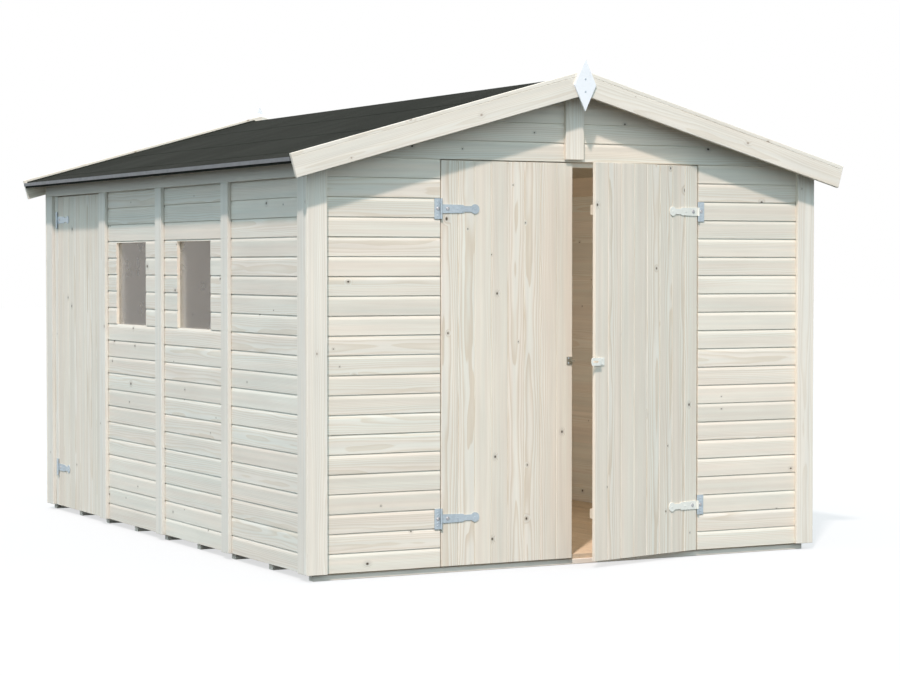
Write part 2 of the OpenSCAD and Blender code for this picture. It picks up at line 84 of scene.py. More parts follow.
# Radius and rise of the fixings' heads; their places from the pin or the leaf's free edge, and from the
# middle height of the hinge, hasp or finial
BOLT, SCREW, FINIAL_SCREW = (0.0085, 0.0042), (0.0042, 0.0016), (0.005, 0.0016)
HEAD_SIDES, HEAD_FOOT, HEAD_LEANS = 14, 0.0008, np.array([0.0, 0.30, 0.60, 0.90, 1.20]) * (math.pi / 2.6)
PLATE_BOLT_X, PLATE_SCREW_X, PLATE_SCREW_ZS = -0.015, -0.016, (-0.030, -0.017, 0.017, 0.030)
STRAP_BOLT_X, STRAP_SCREW_XS = 0.033, (0.082, 0.169)
HASP_SCREW_X, HASP_SCREW_ZS = -0.043, (-0.010, 0.010)
STAPLE_SCREW_X, STAPLE_SCREW_ZS = -0.021, (-0.011, 0.011)
FINIAL_SCREW_ZS = (0.026, -0.030)

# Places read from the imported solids
HW, HD = solid["end_corner_boards"][1][:2]
CLAD_X, CLAD_Y = HW - TRIM_T, HD - TRIM_T
FRAME_X, FRAME_Y = CLAD_X - CLAD_T, CLAD_Y - CLAD_T
ROOM_X, ROOM_Y = FRAME_X - FRAME_T, FRAME_Y - FRAME_T
WALL_Z, GABLE_Z = solid["front_wall_panels"][:, 2]
SIDE_TOP = solid["side_corner_boards"][1][2]
FLOOR_Z = solid["floor_deck"][1][2]
RIDGE = solid["front_gable_panel"][1][2]
FRONT_OPEN = -solid["left_door_leaf"][0][0] + DOOR_GAP
LEFT_PANELS = ("left_wall_front_panel", "left_wall_middle_panel", "left_wall_rear_panel")
JOINTS_Y = np.array([solid[name][1][1] for name in LEFT_PANELS[:2]]) + SAW / 2
POST_Y = solid["left_wall_rear_panel"][1][1] - POST_W
JAMB_Y = solid["side_door_jamb_board"][0][1]
WINDOWS_Y = np.array([JOINTS_Y.sum() / 2, (JOINTS_Y[1] + POST_Y + POST_W) / 2])
HINGE_ZS = solid["left_door_hinge_straps"][:, 2] + [STRAP_END, -STRAP_END]
HASP_Z = solid["left_door_staple"][:, 2].mean()
DECK_PEAK = RIDGE + ROOF_SEAT + DECK_T / COS
FELT_PEAK = DECK_PEAK + FELT_T / COS
RIDGE_CUT = FELT_PEAK - solid["roofing_felt_left"][1][2]
KNEE = RIDGE_CUT / SIN
X, Y, Z = np.eye(3)


def under(x):
    """Height of the roof boards' underside at a distance x from the middle."""
    return RIDGE - abs(x) * TAN


def turn(vector, angle):
    """Vector turned about Z by an angle."""
    c, s = math.cos(angle), math.sin(angle)
    return np.array([c * vector[0] - s * vector[1], s * vector[0] + c * vector[1], vector[2]])


def door_frame(joint, along, inward, angle=0.0):
    """Pin of a door, its direction along the leaf and into the wall, at the leaf's rest angle."""
    pin = np.array(joint["pos_m"], float) * [1, 1, 0]
    return pin, turn(along, angle), turn(inward, angle)


joints = {joint["name"]: joint for joint in frame["joints"]}
AJAR = -math.radians(joints["right_front_door_hinge"]["range_deg"][0])
LEFT_DOOR = door_frame(joints["left_front_door_hinge"], X, Y)
RIGHT_DOOR = door_frame(joints["right_front_door_hinge"], -X, Y, AJAR)
RIGHT_JAMB = door_frame(joints["right_front_door_hinge"], -X, Y)
SIDE_DOOR = door_frame(joints["side_door_hinge"], -Y, X)


# Boards: rows of origin, three directions, size and cuts

WIDTH, THICK, START, STOP, START_SLOPE, STOP_SLOPE, PEAK, LOW, HIGH = range(12, 21)
WHOLE_WIDTH = 9.0


def board(origin, along, across, out, width, thick, start, stop,
          start_slope=0.0, stop_slope=0.0, peak=0.0, low=0.0, high=WHOLE_WIDTH):
    """One board as a row of numbers: its frame, its size, its end cuts and the part of its width kept."""
    return np.concatenate([origin, along, across, out,
                           [width, thick, start, stop, start_slope, stop_slope, peak, low, high]])


def mirrored(rows, axis):
    """The rows with copies of them on the other side of the middle."""
    copy = np.array(rows)
    copy[:, [axis, 3 + axis, 6 + axis, 9 + axis]] *= -1
    return np.concatenate([rows, copy])


def beam(low, high, along, out):
    """Board that fills the box from low to high, its length and face along two axes of the frame."""
    low, high = np.array(low, float), np.array(high, float)
    across = np.ones(3) - abs(along) - abs(out)
    size = high - low
    origin = low * (abs(along) + across) + np.where(abs(out) > 0, np.where(out > 0, high, low), 0.0)
    origin = origin * (1 - abs(along))
    return board(origin, abs(along), across, out, size @ across, size @ abs(out),
                 low @ abs(along), high @ abs(along))


def planed(rows, ease=EASE, face_ease=None):
    """Loops of planed boards: rectangles with eased corners and a point midway on both wide faces."""
    width, thick = rows[:, WIDTH], rows[:, THICK]
    e = np.minimum(ease, thick / 4)
    f = e if face_ease is None else np.full_like(e, face_ease)
    zero = np.zeros_like(width)
    across = [e, width / 2, width - e, width, width, width - f, width / 2, f, zero, zero]
    depth = [-thick, -thick, -thick, e - thick, -f, zero, zero, zero, -f, e - thick]
    return np.stack([np.stack(across, 1), np.stack(depth, 1)], 2)


SHIPLAP = np.array([(0.0, -CLAD_T), (BOARD, -CLAD_T), (BOARD, -0.0050), (0.0830, -0.0045),
                    (0.0806, -0.0035), (0.0776, -0.0023), (0.0742, -0.0013), (0.0704, -0.0005),
                    (0.0666, 0.0), (0.0012, 0.0), (0.0005, -0.0008)])


def shiplap(rows):
    """Loops of wall boards: flat face, hollowed upper edge that the next board's square foot shadows."""
    across = np.clip(SHIPLAP[None, :, 0], rows[:, LOW, None], rows[:, HIGH, None])
    return np.stack([across, np.broadcast_to(SHIPLAP[:, 1], across.shape)], 2)


def rebated(rows):
    """Loops of window bars: squares with a rebate along the opening's edge for the pane."""
    width, thick = rows[:, WIDTH], rows[:, THICK]
    zero, e = np.zeros_like(width), END_EASE
    seat = zero - PANE_T
    across = [zero + e, width, width, width - e, zero + REBATE, zero + REBATE, zero + e, zero, zero]
    depth = [-thick, -thick, zero - e, zero, zero, seat, seat, seat - e, e - thick]
    return np.stack([np.stack(across, 1), np.stack(depth, 1)], 2)


def new_piece(name, points, faces, material, body, nodes=(), attributes=(), smooth=False):
    """Mesh piece at the origin, with its vector attributes, riding on a body in place of CAD nodes."""
    mesh = bpy.data.meshes.new(name)
    mesh.from_pydata(points.reshape(-1, 3).tolist(), [], faces)
    for key, values in attributes:
        made = mesh.attributes.new(key, "FLOAT_VECTOR", "POINT")
        made.data.foreach_set("vector", values.astype(np.float32).ravel())
    mesh.polygons.foreach_set("use_smooth", np.full(len(mesh.polygons), smooth))
    mesh.materials.append(material)
    mesh.update()
    piece = bpy.data.objects.new(name, mesh)
    bpy.context.scene.collection.objects.link(piece)
    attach(piece, body)
    if nodes:
        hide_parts(*nodes)
    return piece


def stitched(grid):
    """Quads from each ring of point numbers to the next, all the way round."""
    following = np.roll(grid, -1, -1)
    return np.stack([grid[..., :-1, :], following[..., :-1, :], following[..., 1:, :], grid[..., 1:, :]], -1)


def planks(name, rows, loops, material, slot, body, *nodes, end_ease=END_EASE, settle=0.0):
    """Boards as closed loops carried along straight paths.

    A point is origin + l along + w across + d out, where (w, d) runs round the loop and l takes four
    stations: both end faces, drawn in by the easing, and the full section just inside them. The ends lie
    on start + slope w and stop + slope w - peak |w - width / 2|, so they can be cut to the roof.
    """
    count, points = loops.shape[:2]
    loops = loops + np.stack([np.zeros(count), -settle * rng.random(count)], 1)[:, None]
    w, d = loops[..., 0], loops[..., 1]
    columns = [WIDTH, START, STOP, START_SLOPE, STOP_SLOPE, PEAK]
    width, start, stop, slope_0, slope_1, peak = rows[:, columns].T[:, :, None]
    l_0 = start + slope_0 * w
    l_1 = np.maximum(stop + slope_1 * w - peak * abs(w - width / 2), l_0)
    ease = np.minimum(end_ease, (l_1 - l_0) / 4)
    w_end = np.clip(w, w.min(1, keepdims=True) + end_ease, w.max(1, keepdims=True) - end_ease)
    d_end = np.clip(d, d.min(1, keepdims=True) + end_ease, d.max(1, keepdims=True) - end_ease)
    local = np.stack([np.stack([l_0, l_0 + ease, l_1 - ease, l_1], 1), np.stack([w_end, w, w, w_end], 1),
                      np.stack([d_end, d, d, d_end], 1)], 3)
    axes = rows[:, 3:12].reshape(count, 3, 3)
    placed = rows[:, None, None, :3] + np.einsum("bspk,bkx->bspx", local, axes)
    grid = np.arange(count * 4 * points).reshape(count, 4, points)
    sides = stitched(grid).reshape(count, -1, 4)
    caps = np.stack([grid[:, 0, ::-1], grid[:, 3]], 1)
    flip = np.linalg.det(axes) < 0
    sides[flip] = sides[flip][..., ::-1]
    caps[flip] = caps[flip][..., ::-1]
    faces = sides.reshape(-1, 4).tolist() + caps.reshape(-1, points).tolist()
    offset = np.stack([GRAIN_SPREAD * rng.random(count), np.zeros(count), np.zeros(count)], 1)
    character = np.repeat(rng.random((count, 3)), 4 * points, 0)
    return new_piece(name, placed, faces, material, body, nodes,
                     [("grain", local + offset[:, None, None]), ("board", character)])


def buttons(name, centres, outs, radius, rise, material, slot, body):
    """Domed heads: rings of a quarter ellipse r = radius cos(a), h = rise sin(a), closed at the pole."""
    centres, outs = np.array(centres, float), np.array(outs, float)
    count, sides = len(centres), HEAD_SIDES
    side = np.cross(outs, Z)
    around = np.arange(sides) * (2 * math.pi / sides)
    ring = (np.cos(around)[:, None, None] * side + np.sin(around)[:, None, None] * Z).transpose(1, 0, 2)
    radii, heights = radius * np.cos(HEAD_LEANS), rise * np.sin(HEAD_LEANS)
    points = (centres[:, None, None] + radii[None, :, None, None] * ring[:, None]
              + heights[None, :, None, None] * outs[:, None, None])
    foot = centres[:, None, None] + radius * ring[:, None] - HEAD_FOOT * outs[:, None, None]
    points = np.concatenate([foot, points], 1)
    rings = points.shape[1]
    grid = np.arange(count * rings * sides).reshape(count, rings, sides)
    faces = stitched(grid)[..., [0, 3, 2, 1]].reshape(-1, 4).tolist()
    faces += grid[:, -1, ::-1].tolist() + grid[:, 0].tolist()
    return new_piece(name, points, faces, material, body, smooth=True)


# Shading

def add(tree, kind, inputs=None, **settings):
    """New node with its settings; each input is linked from a socket or set to a value."""
    made = tree.nodes.new(kind)
    for key, value in settings.items():
        setattr(made, key, value)
    for key, value in (inputs or {}).items():
        if isinstance(value, bpy.types.NodeSocket):
            tree.links.new(value, made.inputs[key])
        else:
            made.inputs[key].default_value = value
    return made


def calc(tree, operation, *values):
    """Output of a Math node."""
    return add(tree, "ShaderNodeMath", dict(enumerate(values)), operation=operation).outputs[0]


def blend(tree, factor, first, second, kind="MIX"):
    """Output of a colour Mix node."""
    made = add(tree, "ShaderNodeMix", {0: factor, 6: first, 7: second}, data_type="RGBA", blend_type=kind)
    return made.outputs[2]


def step(tree, value, low, high):
    """Smooth step from 0 at low to 1 at high."""
    made = add(tree, "ShaderNodeMapRange", {0: value, 1: low, 2: high}, interpolation_type="SMOOTHSTEP")
    return made.outputs[0]


def noise(tree, vector, scale=1.0, detail=2.0, rough=0.5):
    """Noise value about 0.5 at a vector."""
    inputs = {"Vector": vector, "Scale": scale, "Detail": detail, "Roughness": rough}
    return add(tree, "ShaderNodeTexNoise", inputs).outputs[0]


def scaled(tree, vector, factors):
    """Vector multiplied part by part."""
    return add(tree, "ShaderNodeVectorMath", {0: vector, 1: factors}, operation="MULTIPLY").outputs[0]


def new_group(name, inputs, outputs):
    """Empty shader group with named sockets; gives the tree, its input sockets and its output node."""
    tree = bpy.data.node_groups.new(name, "ShaderNodeTree")
    for key, kind in inputs:
        tree.interface.new_socket(key, in_out="INPUT", socket_type="NodeSocket" + kind)
    for key, kind in outputs:
        tree.interface.new_socket(key, in_out="OUTPUT", socket_type="NodeSocket" + kind)
    return tree, tree.nodes.new("NodeGroupInput").outputs, tree.nodes.new("NodeGroupOutput")


RING_W, RING_SWAY, KNOT_BEND = 0.0046, 0.026, 0.006
KNOT_CELLS, KNOT_SPREAD, KNOT_LEAST, KNOT_GATE = (2.7, 3.5, 0.0), 0.022, 0.009, 0.28
HALO_SHARE, CORE_SHARE = 0.16, 0.84


def spruce_group():
    """Spruce: growth rings round a pith beside the board, fibres, blotches and knots.

    Ring phase is the distance from the pith over the ring width, bent by slow noise and by the knots.
    """
    tree, ins, out = new_group("spruce_grain", [
        ("Grain", "Vector"), ("Board", "Vector"), ("Cool", "Color"), ("Warm", "Color"), ("Late", "Color"),
        ("Knot", "Color"), ("Figure", "Float"), ("Knots", "Float")],
        [("Color", "Color"), ("Roughness", "Float"), ("Height", "Float")])
    place = add(tree, "ShaderNodeSeparateXYZ", {0: ins["Grain"]}).outputs
    trait = add(tree, "ShaderNodeSeparateXYZ", {0: ins["Board"]}).outputs
    seed = calc(tree, "MULTIPLY", trait[2], 37.0)
    aside = calc(tree, "ADD", place[1], seed)
    shifted = add(tree, "ShaderNodeCombineXYZ", {0: place[0], 1: aside, 2: place[2]}).outputs[0]

    cells = scaled(tree, shifted, KNOT_CELLS)
    knot = add(tree, "ShaderNodeTexVoronoi", {"Vector": cells, "Scale": 1.0}, voronoi_dimensions="2D")
    chance = add(tree, "ShaderNodeSeparateColor", {0: knot.outputs["Color"]}).outputs
    size = calc(tree, "MULTIPLY_ADD", calc(tree, "POWER", chance[0], 2.0), KNOT_SPREAD, KNOT_LEAST)
    shown = calc(tree, "MULTIPLY", calc(tree, "GREATER_THAN", chance[1], KNOT_GATE), ins["Knots"])
    reach = calc(tree, "DIVIDE", knot.outputs["Distance"], size)
    core = calc(tree, "MULTIPLY", calc(tree, "SUBTRACT", 1.0, step(tree, reach, 0.35, 1.10)), shown)
    halo = calc(tree, "MULTIPLY", calc(tree, "SUBTRACT", 1.0, step(tree, reach, 0.9, 3.4)), shown)

    pith_w = calc(tree, "MULTIPLY_ADD", trait[1], 0.20, -0.06)
    pith_d = calc(tree, "MULTIPLY_ADD", trait[2], 0.10, 0.02)
    dw = calc(tree, "SUBTRACT", place[1], pith_w)
    dd = calc(tree, "ADD", place[2], pith_d)
    squares = calc(tree, "ADD", calc(tree, "MULTIPLY", dw, dw), calc(tree, "MULTIPLY", dd, dd))
    radius = calc(tree, "SQRT", squares)
    slow = noise(tree, scaled(tree, shifted, (1.1, 7.0, 7.0)), detail=3.0)
    sway = calc(tree, "MULTIPLY_ADD", slow, RING_SWAY, radius)
    bent = calc(tree, "MULTIPLY_ADD", halo, KNOT_BEND, sway)
    phase = calc(tree, "FRACT", calc(tree, "DIVIDE", bent, RING_W))
    late = calc(tree, "MULTIPLY", step(tree, phase, 0.30, 0.90),
                calc(tree, "SUBTRACT", 1.0, step(tree, phase, 0.93, 1.0)))

    fibre = noise(tree, scaled(tree, shifted, (9.0, 620.0, 620.0)), detail=2.0)
    streak = noise(tree, scaled(tree, shifted, (0.9, 46.0, 46.0)), detail=3.0)
    blotch = noise(tree, scaled(tree, shifted, (2.2, 9.0, 9.0)), detail=2.0)

    tint = step(tree, noise(tree, scaled(tree, shifted, (1.2, 24.0, 24.0)), detail=2.0), 0.34, 0.66)
    warmth = calc(tree, "MULTIPLY_ADD", trait[0], 0.5, calc(tree, "MULTIPLY", tint, 0.5))
    body = blend(tree, warmth, ins["Cool"], ins["Warm"])
    body = blend(tree, calc(tree, "MULTIPLY", late, ins["Figure"]), body, ins["Late"])
    shade = calc(tree, "MULTIPLY_ADD", fibre, 0.10, 0.95)
    shade = calc(tree, "MULTIPLY_ADD", streak, 0.26, calc(tree, "SUBTRACT", shade, 0.13))
    shade = calc(tree, "MULTIPLY_ADD", blotch, 0.16, calc(tree, "SUBTRACT", shade, 0.08))
    shade = calc(tree, "MULTIPLY_ADD", trait[1], 0.07, calc(tree, "SUBTRACT", shade, 0.035))
    grey = add(tree, "ShaderNodeCombineColor", {0: shade, 1: shade, 2: shade}).outputs[0]
    body = blend(tree, 1.0, body, grey, "MULTIPLY")
    mark = calc(tree, "MULTIPLY_ADD", halo, HALO_SHARE, calc(tree, "MULTIPLY", core, CORE_SHARE))
    mark = calc(tree, "MINIMUM", mark, 1.0)
    color = blend(tree, mark, body, ins["Knot"])
    rough = calc(tree, "MULTIPLY_ADD", fibre, 0.16, calc(tree, "MULTIPLY_ADD", late, -0.06, 0.54))
    height = calc(tree, "MULTIPLY_ADD", late, 0.35, calc(tree, "MULTIPLY", core, 0.3))
    height = calc(tree, "MULTIPLY_ADD", fibre, 0.5, height)
    for key, socket in (("Color", color), ("Roughness", rough), ("Height", height)):
        tree.links.new(socket, out.inputs[key])
    return tree


def zinc_group():
    """Galvanised or painted sheet: spangle cells that differ a little in tone, with fine scuffs."""
    tree, ins, out = new_group("zinc_spangle", [
        ("Place", "Vector"), ("Base", "Color"), ("Dull", "Color"), ("Cell", "Float")],
        [("Color", "Color"), ("Roughness", "Float"), ("Height", "Float")])
    cell = add(tree, "ShaderNodeTexVoronoi", {"Vector": ins["Place"], "Scale": ins["Cell"]})
    tone = add(tree, "ShaderNodeSeparateColor", {0: cell.outputs["Color"]}).outputs[0]
    scuff = noise(tree, ins["Place"], 60.0, 5.0, 0.6)
    grime = noise(tree, ins["Place"], 9.0, 3.0)
    dirt = calc(tree, "MULTIPLY", step(tree, grime, 0.45, 0.75), 0.5)
    color = blend(tree, calc(tree, "MULTIPLY_ADD", tone, 0.45, dirt), ins["Base"], ins["Dull"])
    rough = calc(tree, "MULTIPLY_ADD", scuff, 0.22, calc(tree, "MULTIPLY_ADD", tone, 0.10, 0.30))
    height = calc(tree, "MULTIPLY_ADD", scuff, 0.5, calc(tree, "MULTIPLY", tone, 0.2))
    for key, socket in (("Color", color), ("Roughness", rough), ("Height", height)):
        tree.links.new(socket, out.inputs[key])
    return tree


def new_material(name):
    """Material with its Principled shader; gives the material, its tree and the shader."""
    material = bpy.data.materials.new(name)
    material.use_nodes = True
    return material, material.node_tree, material.node_tree.nodes["Principled BSDF"]


def bump(tree, shader, height, strength, distance):
    """Bump of a height socket into a shader's normal."""
    made = add(tree, "ShaderNodeBump", {"Height": height, "Strength": strength, "Distance": distance})
    tree.links.new(made.outputs[0], shader.inputs["Normal"])


SPRUCE, ZINC = spruce_group(), zinc_group()


def timber(name, cool, warm, late, knot, figure=0.35, knots=1.0, turned=None):
    """Spruce on boards with their own grain attribute, or turned onto a CAD solid's axes."""
    material, tree, shader = new_material(name)
    if turned is None:
        grain = add(tree, "ShaderNodeAttribute", attribute_name="grain").outputs["Vector"]
        trait = add(tree, "ShaderNodeAttribute", attribute_name="board").outputs["Vector"]
    else:
        place = add(tree, "ShaderNodeTexCoord").outputs["Object"]
        place = add(tree, "ShaderNodeSeparateXYZ", {0: place}).outputs
        order = {i: place[axis] for i, axis in enumerate(turned)}
        grain = add(tree, "ShaderNodeCombineXYZ", order).outputs[0]
        trait = add(tree, "ShaderNodeCombineXYZ", {0: 0.6, 1: 0.4, 2: 0.5}).outputs[0]
    made = add(tree, "ShaderNodeGroup", node_tree=SPRUCE)
    for key, value in (("Grain", grain), ("Board", trait)):
        tree.links.new(value, made.inputs[key])
    for key, value in (("Cool", cool), ("Warm", warm), ("Late", late), ("Knot", knot)):
        made.inputs[key].default_value = (*value, 1.0)
    made.inputs["Figure"].default_value, made.inputs["Knots"].default_value = figure, knots
    tree.links.new(made.outputs["Color"], shader.inputs["Base Color"])
    tree.links.new(made.outputs["Roughness"], shader.inputs["Roughness"])
    shader.inputs["Specular IOR Level"].default_value = 0.08
    bump(tree, shader, made.outputs["Height"], 0.35, 0.0006)
    return material


def sheet_metal(name, base, dull, cell, metallic):
    """Zinc or painted sheet on Object coordinates."""
    material, tree, shader = new_material(name)
    made = add(tree, "ShaderNodeGroup", node_tree=ZINC)
    tree.links.new(add(tree, "ShaderNodeTexCoord").outputs["Object"], made.inputs["Place"])
    made.inputs["Base"].default_value, made.inputs["Dull"].default_value = (*base, 1.0), (*dull, 1.0)
    made.inputs["Cell"].default_value = cell
    tree.links.new(made.outputs["Color"], shader.inputs["Base Color"])
    tree.links.new(made.outputs["Roughness"], shader.inputs["Roughness"])
    shader.inputs["Metallic"].default_value = metallic
    bump(tree, shader, made.outputs["Height"], 0.25, 0.0004)
    return material


def felt_material():
    """Mineral felt: dark granules, faint scuffed patches and streaks down the slope."""
    material, tree, shader = new_material("mineral_felt")
    place = add(tree, "ShaderNodeTexCoord").outputs["Object"]
    grit = noise(tree, place, 420.0, 2.0, 0.7)
    patch = noise(tree, scaled(tree, place, (1.2, 3.0, 1.2)), 1.0, 4.0, 0.6)
    fleck = step(tree, noise(tree, place, 900.0, 1.0), 0.62, 0.72)
    color = blend(tree, step(tree, patch, 0.35, 0.70), (0.016, 0.018, 0.014, 1), (0.025, 0.027, 0.022, 1))
    color = blend(tree, calc(tree, "MULTIPLY", grit, 0.35), color, (0.012, 0.014, 0.011, 1))
    color = blend(tree, calc(tree, "MULTIPLY", fleck, 0.30), color, (0.10, 0.10, 0.09, 1))
    tree.links.new(color, shader.inputs["Base Color"])
    tree.links.new(calc(tree, "MULTIPLY_ADD", grit, 0.2, 0.75), shader.inputs["Roughness"])
    shader.inputs["Specular IOR Level"].default_value = 0.04
    bump(tree, shader, grit, 0.6, 0.0012)
    return material


def paint_material():
    """White gloss paint over wood: faint brush lines and dust in the low spots."""
    material, tree, shader = new_material("white_gloss_paint")
    place = add(tree, "ShaderNodeTexCoord").outputs["Object"]
    brush = noise(tree, scaled(tree, place, (420.0, 420.0, 18.0)), 1.0, 2.0)
    dust = noise(tree, place, 26.0, 4.0, 0.6)
    color = blend(tree, step(tree, dust, 0.50, 0.80), (0.90, 0.92, 0.94, 1), (0.80, 0.83, 0.85, 1))
    tree.links.new(color, shader.inputs["Base Color"])
    tree.links.new(calc(tree, "MULTIPLY_ADD", dust, 0.25, 0.25), shader.inputs["Roughness"])
    bump(tree, shader, brush, 0.2, 0.0004)
    return material


def glass_material():
    """Clear glazing with a faint film that roughens it in patches."""
    material, tree, shader = new_material("window_glazing")
    place = add(tree, "ShaderNodeTexCoord").outputs["Object"]
    film = step(tree, noise(tree, place, 7.0, 4.0, 0.6), 0.45, 0.80)
    tree.links.new(calc(tree, "MULTIPLY_ADD", film, 0.12, 0.22), shader.inputs["Roughness"])
    shader.inputs["Base Color"].default_value = (0.45, 0.47, 0.48, 1.0)
    shader.inputs["Transmission Weight"].default_value = 1.0
    shader.inputs["IOR"].default_value = 1.38
    return material


DARK_KNOT, BROWN_KNOT = (0.09, 0.07, 0.05), (0.22, 0.12, 0.06)
SAWN = ((0.66, 0.58, 0.47), (0.69, 0.60, 0.48), (0.53, 0.43, 0.32), (0.20, 0.11, 0.06), 0.45)
WALL_WOOD = timber("planed_spruce", (0.796, 0.778, 0.684), (0.842, 0.750, 0.642), (0.66, 0.56, 0.42),
                   DARK_KNOT, 0.45)
DOOR_WOOD = timber("door_spruce", (0.802, 0.776, 0.680), (0.838, 0.750, 0.643), (0.66, 0.545, 0.405),
                   DARK_KNOT, 0.62)
# Painted shade: the side door's wood is a darker, cooler copy of the front doors' wood, so the side wall reads
# less sunlit than the front
SHADED_SIDE_DOOR_WOOD = timber("side_door_spruce", (0.765, 0.754, 0.680), (0.798, 0.730, 0.640), (0.61, 0.52, 0.39),
                        DARK_KNOT, 0.66)
TRIM_WOOD = timber("smooth_spruce", (0.820, 0.790, 0.705), (0.845, 0.775, 0.670), (0.68, 0.59, 0.46),
                   BROWN_KNOT, 0.40, 0.6)
# Painted shade: the side walls' boards and trim are darker, cooler copies of the front's wall and trim wood, so
# the sides read less sunlit than the front
SHADED_SIDE_WOOD = timber("side_spruce", (0.733, 0.738, 0.668), (0.774, 0.709, 0.625), (0.61, 0.53, 0.41),
                   DARK_KNOT, 0.45)
SHADED_SIDE_TRIM = timber("smooth_side_spruce", (0.755, 0.748, 0.690), (0.778, 0.735, 0.655), (0.63, 0.56, 0.45),
                   (0.20, 0.12, 0.06), 0.40, 0.6)
# Painted shade: the roof boards are darkened far below the other wood to stand in for the shade under the eaves
SHADED_ROOF_WOOD = timber("roof_spruce_painted_shade", (0.42, 0.40, 0.33), (0.45, 0.40, 0.32), (0.34, 0.28, 0.20),
                   (0.12, 0.07, 0.04), 0.45)
SAWN_WOOD = timber("sawn_spruce", *SAWN)
FLOOR_WOOD = timber("floor_spruce", (0.70, 0.58, 0.43), (0.74, 0.60, 0.44), (0.55, 0.40, 0.25),
                    BROWN_KNOT, 0.45)
# Painted light: the joists are lightened to stand in for light bounced up onto them from the ground
LIGHTENED_JOIST_WOOD = timber("joist_spruce_painted_light", (0.90, 0.83, 0.73), (0.91, 0.82, 0.71), (0.74, 0.64, 0.52),
                    (0.30, 0.20, 0.13), 0.40)
SAWN_X = timber("sawn_spruce_across", *SAWN, turned=(0, 2, 1))
SAWN_Y = timber("sawn_spruce_lengthwise", *SAWN, turned=(1, 2, 0))
HINGE_ZINC = sheet_metal("galvanised_steel", (0.50, 0.58, 0.63), (0.38, 0.45, 0.50), 140.0, 0.7)
# Painted light: the right door's straps, hasp and screws are a whiter copy of the hinge steel, standing in for
# sunlight on them
SUNLIT_ZINC = sheet_metal("galvanised_steel_painted_sunlight", (0.86, 0.86, 0.79), (0.78, 0.78, 0.71), 140.0, 0.15)
# Painted shade: the staple's steel is darkened to stand in for the shade on it
SHADED_ZINC = sheet_metal("steel_painted_shade", (0.34, 0.33, 0.27), (0.22, 0.21, 0.17), 140.0, 0.6)
BOLT_ZINC = sheet_metal("bolt_steel", (0.50, 0.52, 0.54), (0.30, 0.31, 0.33), 300.0, 1.0)
EAVE_METAL = sheet_metal("eave_sheet", (0.140, 0.150, 0.160), (0.11, 0.12, 0.13), 60.0, 0.3)
FELT, PAINT, GLASS = felt_material(), paint_material(), glass_material()


# Walls

def courses(face, along, out, start, stop, count, base=WALL_Z):
    """Rows of wall boards from a base height on one wall, all of one length."""
    return np.stack([board(face + (base + i * BOARD) * Z, along, Z, out, BOARD, CLAD_T, start, stop)
                     for i in range(count)])


def gable_courses(face, along, out):
    """Rows of wall boards above the wall, their ends cut to the roof's slope."""
    rows = []
    for i in range(math.ceil((RIDGE - GABLE_Z) / BOARD)):
        z = GABLE_Z + i * BOARD
        half = (RIDGE - z) / TAN
        rows.append(board(face + z * Z, along, Z, out, BOARD, CLAD_T, -half, half, 1 / TAN, -1 / TAN,
                          high=RIDGE - z))
    return np.stack(rows)


def window_courses(face, along, out, start, stop, middle):
    """Rows of wall boards of a panel with a window: cut on both sides of it, and notched over it."""
    rows = []
    sill, head = WINDOW_ROWS * BOARD, WINDOW_ROWS * BOARD + WINDOW_H
    for i in range(SIDE_ROWS):
        z = i * BOARD
        spans = [(start, stop)]
        if sill <= z < head:
            spans = [(start, middle - WINDOW_W / 2), (middle + WINDOW_W / 2, stop)]
        rows += [board(face + (WALL_Z + z) * Z, along, Z, out, BOARD, CLAD_T, *span) for span in spans]
        if z < head < z + BOARD:
            rows.append(board(face + (WALL_Z + z) * Z, along, Z, out, BOARD, CLAD_T,
                              middle - WINDOW_W / 2, middle + WINDOW_W / 2, low=head - z))
    return np.stack(rows)


def wall(name, rows, *nodes, material=WALL_WOOD):
    """Wall boards of one panel or several."""
    return planks(name, rows, shiplap(rows), material, "wall_wood", "shed", *nodes, settle=WALL_SETTLE)


FRONT, REAR, LEFT, RIGHT = -CLAD_Y * Y, CLAD_Y * Y, -CLAD_X * X, CLAD_X * X
wall("front_wall_boards", mirrored(courses(FRONT, X, -Y, FRONT_OPEN, CLAD_X, FRONT_ROWS), 0),
     "front_wall_panels")
wall("front_gable_boards", gable_courses(FRONT, X, -Y), "front_gable_panel")
wall("rear_wall_boards", courses(REAR, -X, Y, -CLAD_X, CLAD_X, FRONT_ROWS), "rear_wall_panel")
wall("rear_gable_boards", gable_courses(REAR, -X, Y), "rear_gable_panel")
span = {name: -solid[name][::-1, 1] for name in LEFT_PANELS}
wall("left_front_boards", courses(LEFT, -Y, -X, *span["left_wall_front_panel"], SIDE_ROWS),
     "left_wall_front_panel", material=SHADED_SIDE_WOOD)
wall("left_middle_boards", window_courses(LEFT, -Y, -X, *span["left_wall_middle_panel"], -WINDOWS_Y[0]),
     "left_wall_middle_panel", material=SHADED_SIDE_WOOD)
wall("left_rear_boards", window_courses(LEFT, -Y, -X, *span["left_wall_rear_panel"], -WINDOWS_Y[1]),
     "left_wall_rear_panel", material=SHADED_SIDE_WOOD)
edges = [-FRAME_Y, *JOINTS_Y, POST_Y + POST_W / 2, FRAME_Y]
panels = [courses(RIGHT, Y, X, a + SAW / 2, b - SAW / 2, SIDE_ROWS) for a, b in zip(edges, edges[1:])]
wall("right_wall_boards", np.concatenate(panels), "right_wall_panels", material=SHADED_SIDE_WOOD)


# Corner boards, battens and eave boards

def trim(name, rows, *nodes, material=TRIM_WOOD):
    """Planed trim boards with eased edges."""
    rows = np.array(rows)
    return planks(name, rows, planed(rows, TRIM_EASE), material, "wall_wood", "shed", *nodes)


